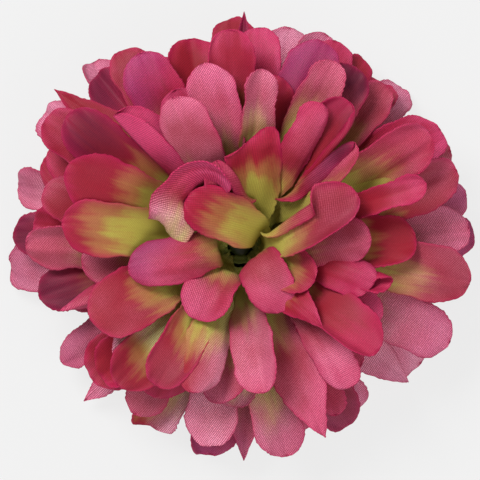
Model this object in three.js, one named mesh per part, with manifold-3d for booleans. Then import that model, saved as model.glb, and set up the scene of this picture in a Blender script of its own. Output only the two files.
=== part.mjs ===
// Artificial chrysanthemum head: eight die-cut fabric petal sheets threaded on a
// green plastic peg, which is pushed into a green plastic calyx.
// Millimetres. +Z runs up the flower's axis, and z = 0 is the face it stands on.

import * as THREE from 'three';
import { mergeVertices } from 'three/addons/utils/BufferGeometryUtils.js';
import Module from 'manifold-3d';

const wasm = await Module();
wasm.setup();

// ---------------------------------------------------------------- dimensions

const CALYX_HEIGHT = 10.2;        // foot to the shelf that the lowest sheet lies on
const CALYX_SHELF_RADIUS = 10.5;
const CALYX_FOOT_RADIUS = 8.0;
const CALYX_WAIST_RADIUS = 6.8;
const CALYX_WAIST_HEIGHT = 4.0;
const CALYX_RIM = 1.5;            // height of its upright rim
const SOCKET_DEPTH = 6.5;         // blind hole that takes the peg's shank

const PEG_RADIUS = 1.6;
const PEG_CAP_RADIUS = 2.5;
const PEG_CAP_HEIGHT = 1.4;
const PEG_CAP_TAPER = 0.6;        // of its radius at the top, and of its height at the edge
const FIT_GAP = 0.35;             // room between pieces that touch

const FABRIC = 0.6;               // stiffened cloth, with its heat-formed relief
const SHEET_PITCH = 1.0;          // hub to hub along the peg
const HUB_HOLE_RADIUS = PEG_RADIUS + FIT_GAP;
const ROOT_SINK = 1.4;            // how far a petal's root runs into its hub
const ROOT_BEND = 5.0;            // arc in which a petal turns up from its hub
const ROOT_REACH = 12;            // from the hub to where a petal has room for its full width
const HEART_ROOT_REACH = 6;       // the same, for a petal bent by hand
const MID_PETAL = 0.55;           // share of a petal's length at its second slope
const GROWN_PETAL = 0.5;          // share of its length at which its roll and cup are full

const PETAL_WIDTH = 12.5;         // usual width at the broadest place
const PETAL_CUP = 12;             // usual bend up of the edges, in degrees
const SPREAD = { wide: 1.5, lift: 0.18, roll: 9, cup: 14, lean: 8, curl: 6 };

const ROUND_SIDES = 32;           // sides of a turned piece

// Each sheet's hub radius, and the slope of its petals in degrees just past the
// bend, at half length and at the tip. The lowest sheet droops to the ground and
// the topmost stands nearly upright round the hollow heart.
const SHEETS = [
  { hub: 9.6, slope: [10, -8, -40] },
  { hub: 9.2, slope: [19, 2, -32] },
  { hub: 8.7, slope: [29, 12, -23] },
  { hub: 8.1, slope: [39, 22, -13] },
  { hub: 7.4, slope: [48, 32, -5] },
  { hub: 6.6, slope: [57, 41, 2] },
  { hub: 5.8, slope: [66, 50, 6] },
  { hub: 3.6, slope: [80, 55, 10] },
];

// A petal is named by where its tip is: the bearing in degrees from +X, and the
// distance from the axis. It may also have
//   wide   width in mm                    lift   slope towards the next sheet, -1 to 1
//   roll   tilt to one side, in degrees   cup    how far the edges bend up, in degrees
//   lean   sideways sweep, in degrees     curl   extra slope at the tip, in degrees
//   point  1 for a tip folded to a point
// A petal that was bent by hand is named by the bearing of its root (from), and has
//   bends  [distance from the hub, slope, turn to the left, tilt] in mm and degrees
const PETALS = [
  [ // sheet 1, the lowest
    { at: 2, reach: 56.3, wide: 11 },
    { at: 44, reach: 54.5, wide: 11 },
    { at: 67, reach: 54.5 },
    { at: 77, reach: 53.5, wide: 11 },
    { at: 103, reach: 49 },
    { at: 128.5, reach: 56.5 },
    { at: 146, reach: 57, wide: 11.5 },
    { at: 165, reach: 55.5, wide: 10 },
    { at: 185, reach: 55.5, wide: 14 },
    { at: 205, reach: 40 },
    { at: 225, reach: 53, wide: 10, point: 1 },
    { at: 244, reach: 46 },
    { at: 262, reach: 51 },
    { at: 286, reach: 47 },
    { at: 306, reach: 48.5, wide: 10 },
    { at: 327, reach: 52 },
    { at: 350, reach: 50, wide: 12 },
  ],
  [ // sheet 2
    { at: 12.5, reach: 55.3, wide: 11 },
    { at: 24, reach: 55, wide: 10 },
    { at: 48, reach: 51.8 },
    { at: 56, reach: 53, wide: 9 },
    { at: 65, reach: 53.5 },
    { at: 92, reach: 54.3, wide: 11 },
    { at: 112, reach: 48 },
    { at: 130, reach: 53 },
    { at: 157, reach: 51 },
    { at: 177, reach: 54, wide: 10 },
    { at: 196, reach: 43 },
    { at: 213, reach: 51, wide: 9, cup: 40 },
    { at: 243.5, reach: 48.3, wide: 12 },
    { at: 271, reach: 51.5, wide: 9, point: 1 },
    { at: 301, reach: 50.2 },
    { at: 321, reach: 52, point: 1 },
    { at: 338, reach: 50 },
  ],
  [ // sheet 3
    { at: 4.5, reach: 54, wide: 13 },
    { at: 30, reach: 54.3 },
    { at: 47, reach: 50.8, wide: 9.5, lean: 0 },
    { at: 89, reach: 55, wide: 7, point: 1 },
    { at: 104, reach: 50, wide: 14 },
    { at: 122, reach: 53.6, wide: 11 },
    { at: 140, reach: 57, wide: 10, point: 1 },
    { at: 153, reach: 50 },
    { at: 174, reach: 49 },
    { at: 194, reach: 48.7, wide: 11 },
    { at: 223, reach: 47, wide: 15 },
    { at: 238, reach: 47, wide: 10 },
    { at: 261, reach: 48.2, wide: 12.4 },
    { at: 282.5, reach: 50.8, wide: 12 },
    { at: 299, reach: 46, wide: 9 },
    { at: 335.3, reach: 54.3, wide: 13 },
  ],
  [ // sheet 4
    { at: 19, reach: 53.3 },
    { at: 57, reach: 49.4, wide: 12, lift: 0 },
    { at: 68, reach: 51.2, wide: 13 },
    { at: 85, reach: 51, wide: 11 },
    { at: 118, reach: 50.4, wide: 13 },
    { at: 147, reach: 54 },
    { at: 164, reach: 47.5 },
    { at: 180, reach: 50 },
    { at: 200, reach: 44.6, point: 1 },
    { at: 224, reach: 45 },
    { at: 240, reach: 41 },
    { at: 268, reach: 38 },
    { at: 294, reach: 49, wide: 14, point: 1 },
    { at: 314, reach: 40, wide: 10 },
    { at: 351.3, reach: 54.3, wide: 13.7 },
  ],
  [ // sheet 5
    { at: 2, reach: 40.8, wide: 13 },
    { at: 25, reach: 47, wide: 9 },
    { at: 30, reach: 50.8, wide: 13, lean: 5 },
    { at: 62.6, reach: 47.8, wide: 9.6 },
    { at: 78.4, reach: 40.2 },
    { at: 93, reach: 49.5, wide: 12 },
    { at: 112, reach: 39, lift: 0.15 },
    { at: 143.3, reach: 49.8, wide: 12 },
    { at: 186, reach: 37 },
    { at: 222, reach: 39, wide: 10 },
    { at: 229, reach: 43 },
    { at: 263, reach: 37, wide: 12 },
    { at: 307.2, reach: 41.5, wide: 9.5, lean: -20 },
    { at: 330, reach: 37 },
  ],
  [ // sheet 6
    { at: 18.5, reach: 44.6, wide: 6.5, roll: 0, lean: 0 },
    { at: 52, reach: 41.2, wide: 14, cup: 45 },
    { at: 83, reach: 40.6, wide: 8.3 },
    { at: 101, reach: 42.4, wide: 11.5 },
    { at: 134, reach: 41.5, wide: 15.5, lift: -0.1, roll: 0, cup: 10 },
    { at: 158, reach: 43.2, wide: 14 },
    { at: 173, reach: 41, wide: 13 },
    { at: 206.5, reach: 38.3, wide: 15 },
    { at: 239, reach: 37.7, wide: 12.3, roll: -8 },
    { at: 323.3, reach: 39.9, wide: 12.5, roll: -7 },
    { at: 346.6, reach: 36.2, wide: 12.5, lift: -1, roll: 0, cup: 45, lean: 0, curl: 30 },
  ],
  [ // sheet 7
    { at: 42, reach: 35, wide: 11, cup: 50 },
    { at: 60, reach: 37.2, wide: 8.2, lift: -0.3, roll: -5 },
    { at: 114, reach: 36.8, wide: 12.8 },
    { at: 252.5, reach: 35.5, wide: 12.5, roll: -6, slope: [57, 44, 4] },
    { at: 279, reach: 34.3, wide: 11.5, slope: [57, 45, 4] },
    { at: 344, reach: 32.1, wide: 11, roll: 0, lean: -15, slope: [66, 46, -8] },
  ],
  [ // sheet 8, the heart
    { at: 3, reach: 30, wide: 13, slope: [70, 45, 4] },
    { from: 0, wide: 14, cup: 15, bends: [[0, 0, 0, 0], [2, 86, 0, 0], [8, 76, 12, 0], [18, 52, 28,
      0], [30, 28, 32, 0], [41, 0, 32, 0]] },
    { from: 62, wide: 14, cup: 30, bends: [[0, 0, 0, 0], [2, 80, 0, 0], [5, 58, 10, 0], [18, 46,
      34, 0], [28, 38, 35, 0], [32, -5, 35, 0]] },
    { from: 88, wide: 12, bends: [[0, 0, 0, 0], [2, 78, 0, 0], [5, 70, 10, 0], [16, 62, 24, 0],
      [24, 44, 30, 0], [30, -8, 30, 0]] },
    { from: 22, wide: 12, cup: 20, bends: [[0, 0, 0, 0], [2, 88, 0, 0], [4, 86, 10, 0], [9, 80,
      120, 0], [15, 48, 133, 0], [25, 31, 133, 0], [31.5, 12, 133, 0], [34.5, -8, 133, 0]] },
    { from: 165, wide: 12.5, bends: [[0, 0, 0, 0], [2, 76, 0, 0], [5, 44, 0, 0], [15.5, 44, 3, 0],
      [21.5, 86, 42, 0], [26.5, 135, 88, 0], [30.5, 165, 96, 0], [34.5, 178, 64, 40], [47.5, 194,
      -36, 70]] },
    { from: 192, wide: 12.8, cup: -20, bends: [[0, 0, 0, 0], [2, 88, 0, 0], [13, 92, 0, 0], [17,
      45, 0, 0], [24, 7, 0, 0], [38, -9, 0, 0]] },
    { from: 228, wide: 13.5, bends: [[0, 0, 0, 0], [2, 70, 0, 0], [4, 70, 10, 0], [10, 86, 15, 0],
      [15.5, 44, 20, 0], [20.5, 10, 20, 0], [22.5, -6, 20, 0], [27, -16, 18, 0]] },
    { from: 318, wide: 12, cup: -8, bends: [[0, 0, 0, 0], [2, 88, 0, 0], [13, 96, -8, 0], [17, 50,
      -20, 0], [22, 5, -24, 0], [31, -30, -26, 0]] },
    { from: 340, wide: 12, cup: 45, bends: [[0, 0, 0, 0], [2, 84, 0, 0], [7, 70, -4, 0], [14, 50,
      -9, 0], [21, 34, -11, 0], [26, 22, -11, 0]] },
    { at: 315, reach: 27, wide: 9, slope: [76, 46, 6], point: 1 },
  ],
];

// ------------------------------------------------------------------- colours

const finish = (color, roughness) =>
  new THREE.MeshStandardMaterial({ color, roughness, metalness: 0 });

// ---------------------------------------------------------------- small tools

const radians = THREE.MathUtils.degToRad;
const lerp = THREE.MathUtils.lerp;
const smooth = (t) => THREE.MathUtils.smoothstep(t, 0, 1);

/** Value at x on the line through the knots [x, y], held level past its ends. */
function along(knots, x, ease = (t) => t) {
  for (let i = 1; i < knots.length; i++) {
    const [x0, y0] = knots[i - 1];
    const [x1, y1] = knots[i];
    if (x <= x1) return lerp(y0, y1, ease(Math.max(0, (x - x0) / (x1 - x0))));
  }
  return knots[knots.length - 1][1];
}

function solidOf(geometry) {
  const bare = geometry.clone();
  bare.deleteAttribute('normal');
  bare.deleteAttribute('uv');
  const merged = mergeVertices(bare, 1e-4);
  return new wasm.Manifold(new wasm.Mesh({
    numProp: 3,
    vertProperties: new Float32Array(merged.attributes.position.array),
    triVerts: new Uint32Array(merged.index.array),
  }));
}

function geometryOf(solid) {
  const { vertProperties, triVerts, numProp } = solid.getMesh();
  const geometry = new THREE.BufferGeometry();
  const positions = new Float32Array((vertProperties.length / numProp) * 3);
  for (let i = 0; i < positions.length / 3; i++) {
    positions.set(vertProperties.subarray(i * numProp, i * numProp + 3), i * 3);
  }
  geometry.setAttribute('position', new THREE.BufferAttribute(positions, 3));
  geometry.setIndex(new THREE.BufferAttribute(new Uint32Array(triVerts), 1));
  geometry.computeVertexNormals();
  return geometry;
}

/** A solid turned about +Z from [radius, height] points that close on the axis. */
function turned(profile) {
  const points = profile.map(([radius, height]) => new THREE.Vector2(radius, height));
  return new THREE.LatheGeometry(points, ROUND_SIDES).rotateX(Math.PI / 2);
}

// --------------------------------------------------------------------- petals

const HALF_WIDTHS = [[0, 0.30], [0.22, 0.42], [0.45, 0.74], [0.68, 1.0], [0.85, 0.95],
  [0.95, 0.66], [1, 0.26]];
const POINTED = [[0, 0.30], [0.22, 0.42], [0.45, 0.74], [0.66, 1.0], [0.84, 0.72],
  [0.95, 0.32], [1, 0.08]];
const HEART_ROOT = [0.09, 0.34];  // the extra station where a hand-bent petal turns up
const ACROSS = [-1, 0, 1];
const LINE_STEPS = 60;
const [SHORTEST, LONGEST] = [8, 60];  // petals, in mm
const HALVINGS = 24;
const FLAT = 1e-6;                // a bend in radians per mm that is as good as none

/** The sheet's values at a place between two sheets, given by a fractional index. */
function between(index) {
  const low = THREE.MathUtils.clamp(Math.floor(index), 0, SHEETS.length - 2);
  const part = index - low;
  const mix = (a, b) => lerp(a, b, part);
  return SHEETS[low].slope.map((slope, i) => mix(slope, SHEETS[low + 1].slope[i]));
}

/** Slope, turn and tilt in degrees at a distance from the hub. */
function bendAt(form, s, length) {
  if (form.bends) {
    return [1, 2, 3].map((i) => along(form.bends.map((bend) => [bend[0], bend[i]]), s, smooth));
  }
  const slope = along([
    [0, 0],
    [ROOT_BEND, form.slope[0]],
    [MID_PETAL * length, form.slope[1]],
    [length, form.slope[2] + form.curl],
  ], s);
  return [slope, form.lean * smooth(s / length), form.roll * grownAt(s, length)];
}

/** How far a petal has taken up its own roll and cup, from 0 at the hub to 1. */
const grownAt = (s, length) => smooth(s / (GROWN_PETAL * length));

/** The petal's mid-line from root to tip: places and bends. */
function midLine(form, length) {
  const line = [];
  const place = new THREE.Vector3(form.hub - ROOT_SINK, 0, 0);
  const run = length + ROOT_SINK;
  for (let i = 0; i <= LINE_STEPS; i++) {
    const s = (i / LINE_STEPS) * run - ROOT_SINK;
    const [pitch, heading, tilt] = bendAt(form, Math.max(s, 0), length).map(radians);
    line.push({ s, pitch, heading, tilt, place: place.clone() });
    const step = run / LINE_STEPS;
    place.x += step * Math.cos(pitch) * Math.cos(heading);
    place.y += step * Math.cos(pitch) * Math.sin(heading);
    place.z += step * Math.sin(pitch);
  }
  return line;
}

/** The length that brings the tip to the stated distance from the axis. */
function lengthFor(form, reach) {
  let [short, long] = [SHORTEST, LONGEST];
  for (let i = 0; i < HALVINGS; i++) {
    const length = (short + long) / 2;
    const tip = midLine(form, length).at(-1).place;
    if (Math.hypot(tip.x, tip.y) < reach) short = length;
    else long = length;
  }
  return (short + long) / 2;
}

/** One petal of a sheet, as a closed blade about its mid-surface. */
function petal(sheet, row, draw) {
  const {
    at, from, reach, bends, point = 0,
    wide = PETAL_WIDTH + SPREAD.wide * draw(), lift = SPREAD.lift * draw(),
    roll = SPREAD.roll * draw(), cup = PETAL_CUP + SPREAD.cup * draw(),
    lean = SPREAD.lean * draw(), curl = SPREAD.curl * draw(), slope = between(sheet + lift),
  } = row;
  const form = { hub: SHEETS[sheet].hub, slope, curl, lean, roll, bends };
  const length = bends ? bends.at(-1)[0] : lengthFor(form, reach);
  const line = midLine(form, length);
  const tip = line.at(-1).place;
  const turn = bends ? radians(from) : radians(at) - Math.atan2(tip.y, tip.x);
  const level = CALYX_HEIGHT + FIT_GAP + FABRIC / 2 + sheet * SHEET_PITCH;

  const outline = bends ? [HALF_WIDTHS[0], HEART_ROOT, ...HALF_WIDTHS.slice(1)]
    : point ? POINTED : HALF_WIDTHS;
  const rows = outline.map(([u, share]) => {
    const spot = line[Math.round(u * (line.length - 1))];
    const { pitch, heading, tilt } = spot;
    const grown = grownAt(spot.s, length);
    const radius = Math.hypot(spot.place.x, spot.place.y);
    const room = (Math.PI * radius) / PETALS[sheet].length;
    const free = smooth(spot.s / (bends ? HEART_ROOT_REACH : ROOT_REACH));
    const half = Math.min((share * wide) / 2, lerp(room, wide, free));
    const round = Math.sin(pitch) / radius * (1 - grown);
    const bend = round + radians(cup) * grown / (wide / 2);
    const [cp, sp] = [Math.cos(pitch), Math.sin(pitch)];
    const [ch, sh] = [Math.cos(heading), Math.sin(heading)];
    const face = new THREE.Vector3(-sp * ch, -sp * sh, cp);
    const side = new THREE.Vector3(-sh, ch, 0);
    const rolledSide = side.clone().multiplyScalar(Math.cos(tilt))
      .addScaledVector(face, Math.sin(tilt));
    const rolledFace = face.clone().multiplyScalar(Math.cos(tilt))
      .addScaledVector(side, -Math.sin(tilt));
    return ACROSS.map((v) => {
      const x = v * half;
      const angle = bend * x;
      const over = Math.abs(bend) < FLAT ? x : Math.sin(angle) / bend;
      const up = Math.abs(bend) < FLAT ? 0 : (1 - Math.cos(angle)) / bend;
      const middle = spot.place.clone()
        .addScaledVector(rolledSide, over).addScaledVector(rolledFace, up);
      const normal = rolledFace.clone().multiplyScalar(Math.cos(angle))
        .addScaledVector(rolledSide, -Math.sin(angle));
      return { middle, normal };
    });
  });

  const blade = bladeOf(rows);
  blade.rotateZ(turn);
  blade.translate(0, 0, level);
  return blade;
}

/** A closed blade of the fabric's thickness about a grid of mid-surface points. */
function bladeOf(rows) {
  const [down, wide] = [rows.length, rows[0].length];
  const positions = [];
  for (const side of [0.5, -0.5]) {
    for (const points of rows) {
      for (const { middle, normal } of points) {
        positions.push(...middle.clone().addScaledVector(normal, side * FABRIC).toArray());
      }
    }
  }
  const upper = (i, j) => i * wide + j;
  const lower = (i, j) => down * wide + upper(i, j);
  const index = [];
  for (let i = 0; i + 1 < down; i++) {
    for (let j = 0; j + 1 < wide; j++) {
      const [a, b, c, d] = [[i, j], [i + 1, j], [i + 1, j + 1], [i, j + 1]];
      index.push(upper(...a), upper(...b), upper(...c), upper(...a), upper(...c), upper(...d));
      index.push(lower(...a), lower(...c), lower(...b), lower(...a), lower(...d), lower(...c));
    }
  }
  const rim = [];
  for (let j = 0; j + 1 < wide; j++) rim.push([0, j]);
  for (let i = 0; i + 1 < down; i++) rim.push([i, wide - 1]);
  for (let j = wide - 1; j > 0; j--) rim.push([down - 1, j]);
  for (let i = down - 1; i > 0; i--) rim.push([i, 0]);
  rim.forEach((a, n) => {
    const b = rim[(n + 1) % rim.length];
    index.push(upper(...a), upper(...b), lower(...b), upper(...a), lower(...b), lower(...a));
  });
  const geometry = new THREE.BufferGeometry();
  geometry.setAttribute('position', new THREE.Float32BufferAttribute(positions, 3));
  geometry.setIndex(index);
  return geometry;
}

/** A repeatable draw from -1 to 1. */
function drawer(seed) {
  let state = seed;
  return () => {
    state = (Math.imul(state, 1664525) + 1013904223) >>> 0;
    return (state / 2 ** 31) - 1;
  };
}

function petalSheet(sheet) {
  const level = CALYX_HEIGHT + FIT_GAP + sheet * SHEET_PITCH;
  const { hub } = SHEETS[sheet];
  const ring = turned([
    [HUB_HOLE_RADIUS, level], [hub, level], [hub, level + FABRIC],
    [HUB_HOLE_RADIUS, level + FABRIC], [HUB_HOLE_RADIUS, level],
  ]);
  const draw = drawer(1000 + sheet);
  const whole = PETALS[sheet].reduce(
    (body, row) => body.add(solidOf(petal(sheet, row, draw))),
    solidOf(ring),
  );
  // the tiny pockets shut in between crowded roots are filled
  return whole.decompose().filter((shell) => shell.volume() > 0)
    .reduce((body, shell) => body.add(shell));
}

// -------------------------------------------------------------------- plastic

function calyx() {
  const socket = PEG_RADIUS + FIT_GAP;
  return turned([
    [0, 0], [CALYX_FOOT_RADIUS, 0], [CALYX_WAIST_RADIUS, CALYX_WAIST_HEIGHT],
    [CALYX_SHELF_RADIUS, CALYX_HEIGHT - CALYX_RIM], [CALYX_SHELF_RADIUS, CALYX_HEIGHT],
    [socket, CALYX_HEIGHT], [socket, CALYX_HEIGHT - SOCKET_DEPTH],
    [0, CALYX_HEIGHT - SOCKET_DEPTH],
  ]);
}

function peg() {
  const bottom = CALYX_HEIGHT - SOCKET_DEPTH + FIT_GAP;
  const top = CALYX_HEIGHT + FIT_GAP + (SHEETS.length - 1) * SHEET_PITCH + FABRIC + FIT_GAP;
  return turned([
    [0, bottom], [PEG_RADIUS, bottom], [PEG_RADIUS, top], [PEG_CAP_RADIUS, top],
    [PEG_CAP_RADIUS, top + PEG_CAP_TAPER * PEG_CAP_HEIGHT],
    [PEG_CAP_TAPER * PEG_CAP_RADIUS, top + PEG_CAP_HEIGHT],
    [0, top + PEG_CAP_HEIGHT],
  ]);
}

// ------------------------------------------------------------------- assembly

const flower = new THREE.Group();

function place(name, geometry, material) {
  const mesh = new THREE.Mesh(geometry, material);
  mesh.name = name;
  flower.add(mesh);
}

place('calyx', calyx(), finish(0x5d6b2c, 0.5));
place('centre_peg', peg(), finish(0x3a451e, 0.5));
SHEETS.forEach((_, sheet) => {
  place(`petal_sheet_${sheet + 1}`, geometryOf(petalSheet(sheet)), finish(0xb83a62, 0.75));
});

export default flower;
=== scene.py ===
"""Dresses the artificial chrysanthemum head: cloth petals, plastic peg and calyx."""

import math

import bpy
import numpy as np
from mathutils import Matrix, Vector


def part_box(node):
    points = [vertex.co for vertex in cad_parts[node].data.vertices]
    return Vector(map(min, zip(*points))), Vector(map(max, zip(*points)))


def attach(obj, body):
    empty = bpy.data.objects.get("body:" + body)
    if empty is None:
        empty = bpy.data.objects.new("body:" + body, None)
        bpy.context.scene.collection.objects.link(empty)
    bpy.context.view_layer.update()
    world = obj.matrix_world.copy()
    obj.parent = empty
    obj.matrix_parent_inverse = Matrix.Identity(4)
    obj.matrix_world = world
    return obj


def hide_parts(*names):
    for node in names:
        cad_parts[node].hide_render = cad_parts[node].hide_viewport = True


bl_info = {
    "name": "Fabric chrysanthemum head",
    "version": (1, 0, 0),
    "blender": (4, 5, 0),
    "location": "3D View > Sidebar > Flower",
    "description": "Builds the petal sheets, the plastic pieces and the stage of a fabric flower",
    "category": "Object",
}

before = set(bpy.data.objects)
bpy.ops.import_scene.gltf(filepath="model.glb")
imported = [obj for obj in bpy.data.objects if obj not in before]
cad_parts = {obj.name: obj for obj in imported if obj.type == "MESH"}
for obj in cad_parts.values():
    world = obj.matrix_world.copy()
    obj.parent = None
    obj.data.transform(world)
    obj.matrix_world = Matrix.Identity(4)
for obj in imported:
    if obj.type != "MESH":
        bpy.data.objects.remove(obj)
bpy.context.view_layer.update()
MM = 0.001

# ------------------ the pressed sheets, in mm and degrees

FABRIC_RELIEF = 0.6  # the solids' thickness, which the cloth lies in
HUB_CLEARANCE = 0.35  # from the calyx's shelf to the lowest sheet
SHEET_PITCH = 1.0  # from hub to hub
HUB_HOLE_RADIUS = 1.95
ROOT_SINK = 1.4  # how far a petal's root runs into its hub
ROOT_BEND = 5.0  # distance from the hub in which a petal turns up
ROOT_REACH = 12  # distance in which a petal comes free of its neighbours
HEART_ROOT_REACH = 6  # the same for a petal with bends of its own
HUB_KNOT = [0, 0, 0, 0]  # where such a petal's bends start
MID_PETAL = 0.55  # share of the length at which the middle slope holds
FULL_PRESS = 0.5  # share of the length in which the roll and cup are taken up
PETAL_WIDTH = 12.5
PETAL_CUP = 12
SHORTEST, LONGEST = 8, 60  # the lengths between which a petal's own is sought

# How far the numbers that a petal's row leaves out may stray from the usual ones.
SPREAD = dict(wide=1.5, lift=0.18, roll=9, cup=14, lean=8, curl=6)

# Each sheet's hub radius, and the slope of its petals in degrees just past the
# bend, at half length and at the tip.
SHEETS = [
    dict(hub=9.6, slope=(10, -8, -40)),
    dict(hub=9.2, slope=(19, 2, -32)),
    dict(hub=8.7, slope=(29, 12, -23)),
    dict(hub=8.1, slope=(39, 22, -13)),
    dict(hub=7.4, slope=(48, 32, -5)),
    dict(hub=6.6, slope=(57, 41, 2)),
    dict(hub=5.8, slope=(66, 50, 6)),
    dict(hub=3.6, slope=(80, 55, 10)),
]

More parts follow.
